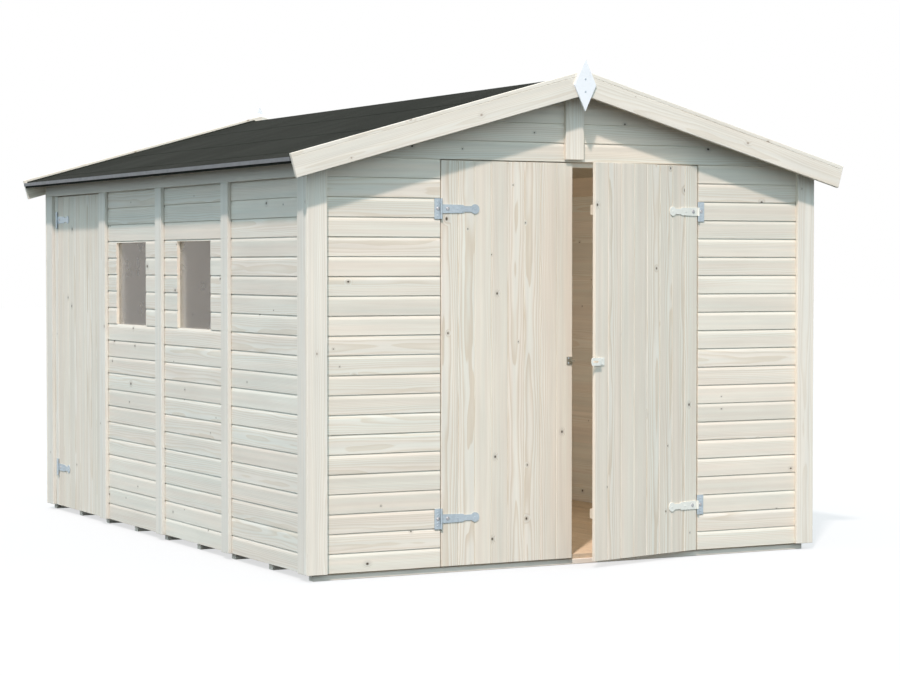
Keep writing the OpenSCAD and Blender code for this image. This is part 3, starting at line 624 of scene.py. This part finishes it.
corner = board([HW, -HD, 0], Z, -X, -Y, CORNER_END_W, TRIM_T, WALL_Z, under(HW), stop_slope=TAN)
trim("end_corner_planks", mirrored(mirrored(corner[None], 0), 1), "end_corner_boards")
corner = beam([-HW, -CLAD_Y, WALL_Z], [-CLAD_X, CORNER_SIDE_W - CLAD_Y, SIDE_TOP], Z, -X)
trim("side_corner_planks", mirrored(mirrored(corner[None], 0), 1), "side_corner_boards", material=SHADED_SIDE_TRIM)
battens = [beam([-HW, y - BATTEN_W / 2, WALL_Z], [-CLAD_X, y + BATTEN_W / 2, SIDE_TOP], Z, -X)
           for y in JOINTS_Y]
battens.append(beam([-HW, POST_Y, WALL_Z], [-CLAD_X, POST_Y + POST_W, SIDE_TOP], Z, -X))
trim("side_batten_planks", mirrored(np.array(battens), 0), "side_wall_battens", material=SHADED_SIDE_TRIM)
for name, node, y, out in (("front_gable_plank", "front_gable_batten", -HD, -Y),
                           ("rear_batten_plank", "rear_wall_batten", HD, Y)):
    foot = solid[node][0][2]
    batten = board([CORNER_END_W / 2, y, 0], Z, -X, out, CORNER_END_W, TRIM_T, foot, RIDGE, peak=TAN)
    trim(name, [batten], node)
eave = beam([-HW, -CLAD_Y, SIDE_TOP], [-CLAD_X, CLAD_Y, under(HW)], Y, -X)
trim("eave_planks", mirrored(eave[None], 0), "eave_boards", material=SHADED_SIDE_TRIM)
trim("side_jamb_plank", [beam(*solid["side_door_jamb_board"], Z, -X)], "side_door_jamb_board",
     material=SHADED_SIDE_TRIM)


# Framing and floor

def sawn(name, rows, body, *nodes, material=SAWN_WOOD, slot="frame_wood", ease=SAWN_EASE):
    """Sawn framing timbers, joists or floor boards."""
    rows = np.array(rows)
    return planks(name, rows, planed(rows, ease), material, slot, body, *nodes)


stud_ys = [-FRAME_Y, *(JOINTS_Y - STUD_W / 2), POST_Y + POST_W - STUD_W, FRAME_Y - STUD_W]
studs = [beam([-FRAME_X, y, FLOOR_Z], [-ROOM_X, y + STUD_W, SIDE_TOP], Z, X) for y in stud_ys]
studs.append(beam([-FRONT_OPEN - STUD_W, -FRAME_Y, FLOOR_Z], [-FRONT_OPEN, -ROOM_Y, GABLE_Z], Z, Y))
studs = mirrored(np.array(studs), 0).tolist()
studs.append(beam([-FRAME_X, JAMB_Y, FLOOR_Z], [-ROOM_X, JAMB_Y + STUD_W, SIDE_TOP], Z, X))
studs += [beam([x - STUD_W / 2, ROOM_Y, FLOOR_Z], [x + STUD_W / 2, FRAME_Y, GABLE_Z], Z, -Y)
          for x in (-HW / 2, 0, HW / 2)]
sawn("stud_timbers", studs, "shed", "wall_studs")
stop_t = FRAME_T - DOOR_GAP - SAW
stops = [beam([s * FRONT_OPEN - (s > 0) * STOP_LAP, -ROOM_Y - stop_t, FLOOR_Z],
              [s * FRONT_OPEN + (s < 0) * STOP_LAP, -ROOM_Y, GABLE_Z], Z, -Y) for s in (-1, 1)]
inner = FRONT_OPEN - STOP_LAP - SAW
stops.append(beam([-inner, -ROOM_Y - stop_t, GABLE_Z - DOOR_GAP - STOP_LAP + SAW],
                  [inner, -ROOM_Y, GABLE_Z], X, -Y))
sawn("front_stop_strips", stops, "shed", "front_door_stops", material=TRIM_WOOD)
open_0, side_x = POST_Y + POST_W, [-ROOM_X - stop_t, -ROOM_X]
stops = [beam([side_x[0], y, FLOOR_Z], [side_x[1], y + STOP_LAP, SIDE_TOP], Z, -X)
         for y in (open_0, JAMB_Y - STOP_LAP)]
stops.append(beam([side_x[0], open_0 + STOP_LAP + SAW, SIDE_TOP - DOOR_GAP - STOP_LAP + SAW],
                  [side_x[1], JAMB_Y - STOP_LAP - SAW, SIDE_TOP], Y, -X))
sawn("side_stop_strips", stops, "shed", "side_door_stops", material=TRIM_WOOD)

joist_y = np.linspace(solid["floor_joists"][0][1], solid["floor_joists"][1][1] - JOIST_W, JOISTS)
x_0, x_1 = solid["floor_joists"][:, 0]
sawn("joist_timbers", [beam([x_0, y, 0], [x_1, y + JOIST_W, JOIST_H], X, -Y) for y in joist_y],
     "shed", "floor_joists", material=LIGHTENED_JOIST_WOOD, slot="joist_wood")
low, high = solid["floor_deck"]
cuts = np.linspace(low[0], high[0], FLOOR_BOARDS + 1)
strips = [beam([a + FLOOR_SEAM, *low[1:]], [b - FLOOR_SEAM, *high[1:]], Y, Z) for a, b in zip(cuts, cuts[1:])]
sawn("floor_planks", strips, "shed", "floor_deck", material=FLOOR_WOOD, slot="floor_wood")

bars = []
sill, head = WALL_Z + WINDOW_ROWS * BOARD, WALL_Z + WINDOW_ROWS * BOARD + WINDOW_H
half = WINDOW_W / 2 - SAW / 9
for y in WINDOWS_Y:
    for s in (-1, 1):
        bars.append(board([-FRAME_X, y + s * WINDOW_W / 2, 0], Z, s * Y, -X, WINDOW_BAR, FRAME_T,
                          sill - WINDOW_BAR, head + WINDOW_BAR))
        edge = head if s > 0 else sill
        bars.append(board([-FRAME_X, y, edge], Y, s * Z, -X, WINDOW_BAR, FRAME_T, -half, half))
bars = np.array(bars)
planks("window_bars", bars, rebated(bars), TRIM_WOOD, "frame_wood", "shed", "window_frames", end_ease=0.0)


# Doors

def door(name, body, place, width, free_in, material=DOOR_WOOD):
    """Upright jointed boards of a leaf, and its ledges and brace, on the leaf's own frame."""
    pin, along, inward = place
    pitch, height = width / LEAF_BOARDS, solid[name + "_leaf"][1][2] - WALL_Z
    face = pin + AXIS_OUT * inward + WALL_Z * Z
    rows = np.array([board(face + (DOOR_GAP / 2 + i * pitch + LEAF_SEAM) * along, Z, along, -inward,
                           pitch - 2 * LEAF_SEAM, LEAF_T, 0, height) for i in range(LEAF_BOARDS)])
    planks(name + "_boards", rows, planed(rows, LEAF_EASE, LEAF_V), material, "wall_wood", body,
           name + "_leaf", settle=LEAF_SETTLE)
    x_0, x_1 = DOOR_GAP / 2 + LEDGE_IN, DOOR_GAP / 2 + width - free_in
    back = pin + (AXIS_OUT + LEAF_T + LEDGE_T) * inward
    rows = [board(back + (z - LEDGE_H / 2) * Z, along, Z, inward, LEDGE_H, LEDGE_T, x_0, x_1)
            for z in HINGE_ZS]
    foot, top = HINGE_ZS[0] + LEDGE_H / 2 + SAW, HINGE_ZS[1] - LEDGE_H / 2 - SAW
    run, rise = x_1 - 2 * BRACE_W - x_0, top - foot
    length = math.hypot(run, rise)
    lengthwise, crosswise = (run * along + rise * Z) / length, (rise * along - run * Z) / length
    rows.append(board(back + x_0 * along + foot * Z, lengthwise, crosswise, inward, BRACE_W * rise / length,
                      LEDGE_T, 0, length, run / rise, run / rise))
    sawn(name + "_timbers", rows, body, name + "_ledges")


door("left_door", "left_front_door", LEFT_DOOR, FRONT_LEAF_W, LEDGE_OUT)
door("right_door", "right_front_door", RIGHT_DOOR, FRONT_LEAF_W, LEDGE_OUT)
door("side_door", "side_door", SIDE_DOOR, SIDE_LEAF_W, LEDGE_IN, SHADED_SIDE_DOOR_WOOD)


def at_hinges(*spots):
    """Distances from the pin and heights of spots given from the middle of each hinge."""
    return [(x, z + rise) for z in HINGE_ZS for x, rise in spots]


def fixings(name, body, material, radius, rise, *groups):
    """Domed heads on the outer face of hinge metal; each group is a door's frame and its spots."""
    heads = [(pin + x * along + (AXIS_OUT - METAL_T) * inward + z * Z, -inward)
             for (pin, along, inward), spots in groups for x, z in spots]
    buttons(name, *zip(*heads), radius, rise, material, "zinc_steel", body)


free_edge = DOOR_GAP / 2 + FRONT_LEAF_W
plate_bolts, strap_bolts = at_hinges((PLATE_BOLT_X, 0)), at_hinges((STRAP_BOLT_X, 0))
plate_screws = at_hinges(*((PLATE_SCREW_X, rise) for rise in PLATE_SCREW_ZS))
strap_screws = at_hinges(*((x, 0) for x in STRAP_SCREW_XS))
hasp_screws = [(free_edge + HASP_SCREW_X, HASP_Z + rise) for rise in HASP_SCREW_ZS]
staple_screws = [(free_edge + STAPLE_SCREW_X, HASP_Z + rise) for rise in STAPLE_SCREW_ZS]
fixings("front_plate_bolts", "shed", BOLT_ZINC, *BOLT, (LEFT_DOOR, plate_bolts), (RIGHT_JAMB, plate_bolts))
fixings("front_plate_screws", "shed", HINGE_ZINC, *SCREW, (LEFT_DOOR, plate_screws),
        (RIGHT_JAMB, plate_screws))
fixings("side_plate_bolts", "shed", BOLT_ZINC, *BOLT, (SIDE_DOOR, plate_bolts))
fixings("side_plate_screws", "shed", HINGE_ZINC, *SCREW, (SIDE_DOOR, plate_screws))
for side, body, material, place, screws in (
        ("left", "left_front_door", HINGE_ZINC, LEFT_DOOR, strap_screws + staple_screws),
        ("right", "right_front_door", SUNLIT_ZINC, RIGHT_DOOR, strap_screws + hasp_screws),
        ("side", "side_door", HINGE_ZINC, SIDE_DOOR, strap_screws)):
    fixings(side + "_strap_bolts", body, BOLT_ZINC, *BOLT, (place, strap_bolts))
    fixings(side + "_strap_screws", body, material, *SCREW, (place, screws))


# Roof

def roof_boards():
    """Boards down both slopes, from where the ridge is planed level to the eaves."""
    y_0, y_1 = solid["roof_deck"][:, 1]
    width = (y_1 - y_0) / ROOF_BOARDS
    length = solid["roof_deck"][1][0] / COS
    rows = mirrored(np.stack([board([0, y_0 + i * width + ROOF_SEAM, DECK_PEAK], DOWN, Y, OUT,
                                    width - 2 * ROOF_SEAM, DECK_T, KNEE, length)
                              for i in range(ROOF_BOARDS)]), 0)
    planks("roof_planks", rows, planed(rows, ROOF_EASE), SHADED_ROOF_WOOD, "wall_wood", "shed", "roof_deck",
           end_ease=ROOF_END_EASE)


def roof_tips():
    """Upper ends of the roof boards, which meet under the ridge and are planed level there."""
    y_0, y_1 = solid["roof_deck"][:, 1]
    play, overlap, sink = 0.0003, 0.002, 0.001
    width, cut, foot = (y_1 - y_0) / ROOF_BOARDS, RIDGE_CUT + play, KNEE + overlap
    loop = np.array([(DECK_T * TAN, -DECK_T), (foot, -DECK_T), (foot, -sink), (cut * SIN, -cut * COS)])
    rows = mirrored(np.stack([board([0, y_0 + i * width + ROOF_SEAM, DECK_PEAK], Y, DOWN, OUT,
                                    KNEE, DECK_T, 0, width - 2 * ROOF_SEAM)
                              for i in range(ROOF_BOARDS)]), 0)
    planks("roof_plank_tips", rows, np.repeat(loop[None], len(rows), 0), SHADED_ROOF_WOOD, "wall_wood", "shed",
           end_ease=TIP_EASE)


def felt_sheet(name, node, side):
    """Felt on one slope as a closed loop carried along the ridge.

    The loop's top runs down the slope at the felt's thickness less a lap profile that drops at each
    course and rises again to the next, and low waves that die out at the edges. Both faces level off
    where the roof boards' peak is planed flat.
    """
    y_0, y_1 = solid[node][:, 1]
    reach = abs(solid[node][:, 0]).max()
    flat = solid[node][1][2]
    run, knee = reach / COS, (FELT_PEAK - flat) / SIN
    laps = run * LAP_SHARES
    u = np.unique(np.concatenate([np.linspace(0, run, FELT_STEPS_DOWN), [knee], *(laps + k for k in LAP_EDGES)]))
    v = np.linspace(0, 1, FELT_STEPS_ALONG)
    phase = rng.uniform(0, 2 * math.pi, (FELT_WAVES, 1, 1))
    rate = rng.uniform([[2.0], [1.5]], [[9.0], [7.0]], (FELT_WAVES, 2, 1)).reshape(FELT_WAVES, 2)
    down, lengthwise = rate.T[..., None, None]
    wave = np.sin(down * u + lengthwise * (y_1 - y_0) * v[:, None] + phase).mean(0)
    course = np.searchsorted(laps, u, "right")
    begin = np.concatenate([[0], laps])[course]
    end = np.concatenate([laps, [run]])[course]
    share = (u - begin) / np.maximum(end - begin, 1e-6)
    sink = LAP_STEP * (1 - share) * (course > 0) + FELT_SKIN
    fade = (np.minimum(1, np.minimum(u, run - u) / FADE_DOWN)
            * np.minimum(1, np.minimum(v, 1 - v) / FADE_ALONG)[:, None])
    depth = -sink - FELT_WAVE * (1 + wave) * fade
    below = np.full((len(v), 3), -FELT_T)
    under_u = np.broadcast_to([run, knee, 0.0], below.shape)
    loop_u = np.concatenate([np.broadcast_to(u, depth.shape), under_u], 1)
    loop_d = np.concatenate([depth, below], 1)
    slope, out = DOWN * [side, 1, 1], OUT * [side, 1, 1]
    points = (np.array([0, 0, FELT_PEAK]) + loop_u[..., None] * slope + loop_d[..., None] * out
              + (y_0 + (y_1 - y_0) * v)[:, None, None] * Y)
    points[..., 0] = side * np.clip(side * points[..., 0], RIDGE_GAP, reach)
    level = np.concatenate([np.full(len(u), flat), np.full(3, flat - FELT_T / COS)])
    points[..., 2] = np.minimum(points[..., 2], level)
    grid = np.arange(loop_u.size).reshape(loop_u.shape)
    sides = stitched(grid).reshape(-1, 4)
    caps = np.stack([grid[0, ::-1], grid[-1]])
    if side < 0:
        sides, caps = sides[:, ::-1], caps[:, ::-1]
    faces = sides[:, ::-1].tolist() + caps[:, ::-1].tolist()
    new_piece(name, points, faces, FELT, "shed", (node,))


def capped(rows):
    """Loops of barge boards: eased rectangles with a rebate at the upper front edge for the verge strip."""
    width, thick = rows[:, WIDTH], rows[:, THICK]
    zero, e = np.zeros_like(width), EASE
    seat, back = width - VERGE_W, zero - VERGE_T
    across = [zero + e, width / 2, width - e, width, width, seat, seat, seat - e, width / 2, zero + e,
              zero, zero]
    depth = [-thick, -thick, -thick, e - thick, back, back, zero - e, zero, zero, zero, zero - e, e - thick]
    return np.stack([np.stack(across, 1), np.stack(depth, 1)], 2)


def barge_boards(name, node, out):
    """Boards up the gable's edges, mitred at the peak and square at the eaves, with strips on their tops."""
    low, high = solid[node]
    y = low[1] if out[1] < 0 else high[1]
    top = np.array([0, y, high[2] + SAW / 2 * TAN])
    stop, miter, play = high[0] / COS, 0.0006, 0.0003
    rows = mirrored(board(top - BARGE_W * OUT, DOWN, OUT, out, BARGE_W, high[1] - low[1],
                          BARGE_W * TAN + miter, stop, -TAN)[None], 0)
    planks(name + "_planks", rows, capped(rows), TRIM_WOOD, "wall_wood", "shed", node)
    width = VERGE_W - play
    rows = mirrored(board(top - width * OUT, DOWN, OUT, out, width, VERGE_T,
                          width * TAN + miter, stop, -TAN)[None], 0)
    planks(name + "_verge_strips", rows, planed(rows, STRIP_EASE), TRIM_WOOD, "wall_wood", "shed")


def finials():
    """Diamond plates: a square loop carried outwards, its last ring drawn in to a bevelled face."""
    low, high = solid["gable_finials"]
    half, tall, mid = high[0], (high[2] - low[2]) / 2, (high[2] + low[2]) / 2
    edge, head = 0.0012, FINIAL_SCREW[1]
    thick = FINIAL_T - head
    corners = np.array([(1, 0), (0, 1), (-1, 0), (0, -1)], float)
    shrink = 1 - edge * math.hypot(half, tall) / (half * tall)
    size = np.array([1, 1, (1 + 3 * shrink) / 4, shrink])
    depth = np.array([0, thick - edge, thick - edge / 4, thick])
    ring = size[:, None, None] * corners
    points = []
    for end, y in ((-1, low[1] + FINIAL_T), (1, high[1] - FINIAL_T)):
        away = y + end * np.broadcast_to(depth[:, None], ring.shape[:2])
        points.append(np.stack([-end * half * ring[..., 0], away, mid + tall * ring[..., 1]], 2))
    grid = np.arange(32).reshape(2, 4, 4)
    faces = stitched(grid).reshape(-1, 4).tolist()
    faces += grid[:, -1].tolist() + grid[:, 0, ::-1].tolist()
    new_piece("finial_plates", np.array(points), faces, PAINT, "shed", ("gable_finials",))
    spots = [[0, y, mid + rise] for y in (low[1] + head, high[1] - head) for rise in FINIAL_SCREW_ZS]
    buttons("finial_screws", spots, [-Y, -Y, Y, Y], *FINIAL_SCREW, HINGE_ZINC, "zinc_steel", "shed")


def felt_edges():
    """Fillets behind the barge boards, the felt lapped up over them, and its fold under the eave strips."""
    low, high = solid["roofing_felt_right"]
    stop, sink, slant, set_back = high[0] / COS, 0.0012, 0.003, 0.004
    for name, material, slot, short, skin in (("verge_fillets", TRIM_WOOD, "wall_wood", 0.0, 0.0),
                                              ("felt_verge_laps", FELT, "roofing_felt", set_back, LAP_T)):
        width, deep = FILLET_H + skin, FILLET_W + 2 * skin
        rows = mirrored(np.array([board([0, y, FELT_PEAK], DOWN, OUT, out, width, deep, KNEE, stop - short)
                                  for y, out in ((low[1], -Y), (high[1], Y))]), 0)
        loop = np.array([(-sink, -deep), (width, -slant), (width, 0), (-sink, 0)])
        planks(name, rows, np.repeat(loop[None], len(rows), 0), material, slot, "shed", end_ease=TIP_EASE)
    foot, edge = solid["eave_strips"][0][2], solid["roof_deck"][1][0]
    tuck, proud = 0.0005, 0.0025
    rows = mirrored(beam([edge - tuck, low[1], foot - DRIP_H], [edge + proud, high[1], foot], Y, X)[None], 0)
    planks("felt_eave_folds", rows, planed(rows, FOLD_EASE), FELT, "roofing_felt", "shed")


roof_boards()
felt_sheet("felt_left_courses", "roofing_felt_left", -1)
felt_sheet("felt_right_courses", "roofing_felt_right", 1)
barge_boards("front_barge", "front_barge_boards", -Y)
barge_boards("rear_barge", "rear_barge_boards", Y)
finials()
felt_edges()
roof_tips()

# Finishes of the solids that stay as they are
for material, nodes in (
        (SAWN_Y, ("wall_top_plates", "roof_purlins")), (SAWN_X, ("gable_rails",)), (GLASS, ("window_panes",)),
        (EAVE_METAL, ("eave_strips",)), (SHADED_ZINC, ("left_door_staple",)),
        (SUNLIT_ZINC, ("right_door_hinge_straps", "right_door_hasp")),
        (HINGE_ZINC, ("front_door_hinge_plates", "side_door_hinge_plates", "left_door_hinge_straps",
                      "side_door_hinge_straps"))):
    for name in nodes:
        frame["nodes"][name].data.materials.clear()
        frame["nodes"][name].data.materials.append(material)


# Stage, light and camera

def seen(tree):
    """1 where a ray shows the background: to the camera, in a reflection or through glass."""
    path = add(tree, "ShaderNodeLightPath").outputs
    indirect = calc(tree, "MAXIMUM", path["Is Glossy Ray"], path["Is Transmission Ray"])
    return calc(tree, "MAXIMUM", path["Is Camera Ray"], indirect)


STAGE_HALF, STAGE_GLOW = 60, 0.68
KEY_WAY = (0.402, 0.477, -0.782)
ROOM_LAMP = (-0.5, -0.5, 1.0)
CAMERA_PLACE, CAMERA_DIP, CAMERA_TURN = (-5.4415, -10.9565, 1.3532), 1.7634, 27.622


def pale_floor():
    """Wide floor that bounces little light, as dark ground does, and shows near white with a pale shadow."""
    mesh = bpy.data.meshes.new("stage_floor")
    half = STAGE_HALF
    corners = [(-half, -half, 0), (half, -half, 0), (half, half, 0), (-half, half, 0)]
    mesh.from_pydata(corners, [], [(0, 1, 2, 3)])
    material, tree, shader = new_material("stage_pale")
    shown = seen(tree)
    color = blend(tree, shown, (0.05, 0.05, 0.05, 1), (0.64, 0.65, 0.66, 1))
    tree.links.new(color, shader.inputs["Base Color"])
    shader.inputs["Roughness"].default_value = 1.0
    shader.inputs["Specular IOR Level"].default_value = 0.0
    glow = add(tree, "ShaderNodeEmission", {"Color": (1, 1, 1, 1), "Strength": 1.0})
    share = calc(tree, "MULTIPLY", shown, STAGE_GLOW)
    mixed = add(tree, "ShaderNodeMixShader", {0: share, 1: shader.outputs[0], 2: glow.outputs[0]})
    tree.links.new(mixed.outputs[0], tree.nodes["Material Output"].inputs["Surface"])
    mesh.materials.append(material)
    floor = bpy.data.objects.new("stage_floor", mesh)
    bpy.context.scene.collection.objects.link(floor)


def light_and_camera():
    """Low soft key from the front left, cool fill from all round, and the photograph's viewpoint."""
    scene = bpy.context.scene
    scene.view_settings.view_transform = "Standard"
    world = bpy.data.worlds.new("studio_fill")
    scene.world = world
    world.use_nodes = True
    tree = world.node_tree
    color = blend(tree, seen(tree), (0.92, 1.14, 1.26, 1), (1, 1, 1, 1))
    tree.links.new(color, tree.nodes["Background"].inputs["Color"])
    key = bpy.data.lights.new("key", "SUN")
    key.energy, key.angle, key.color = 2.98, math.radians(3.0), (1.0, 0.85, 0.80)
    lamp = bpy.data.objects.new("key", key)
    x, y, z = KEY_WAY
    lamp.rotation_euler = (math.atan2(math.hypot(x, y), -z), 0, math.atan2(-x, y))
    scene.collection.objects.link(lamp)
    room = bpy.data.lights.new("room_fill", "POINT")
    room.energy, room.shadow_soft_size, room.color = 25.0, 0.5, (1.0, 0.91, 0.82)
    lamp = bpy.data.objects.new("room_fill", room)
    lamp.location = ROOM_LAMP
    lamp.visible_camera = lamp.visible_glossy = lamp.visible_transmission = False
    scene.collection.objects.link(lamp)
    camera = bpy.data.cameras.new("camera")
    camera.lens, camera.sensor_width, camera.sensor_fit = 94.88, 36.0, "HORIZONTAL"
    camera.clip_end = 200.0
    view = bpy.data.objects.new("camera", camera)
    view.location = CAMERA_PLACE
    view.rotation_euler = (math.radians(90 - CAMERA_DIP), 0, -math.radians(CAMERA_TURN))
    scene.collection.objects.link(view)
    scene.camera = view


panes = frame["nodes"]["window_panes"]
panes.visible_shadow = panes.visible_diffuse = False
pale_floor()
light_and_camera()
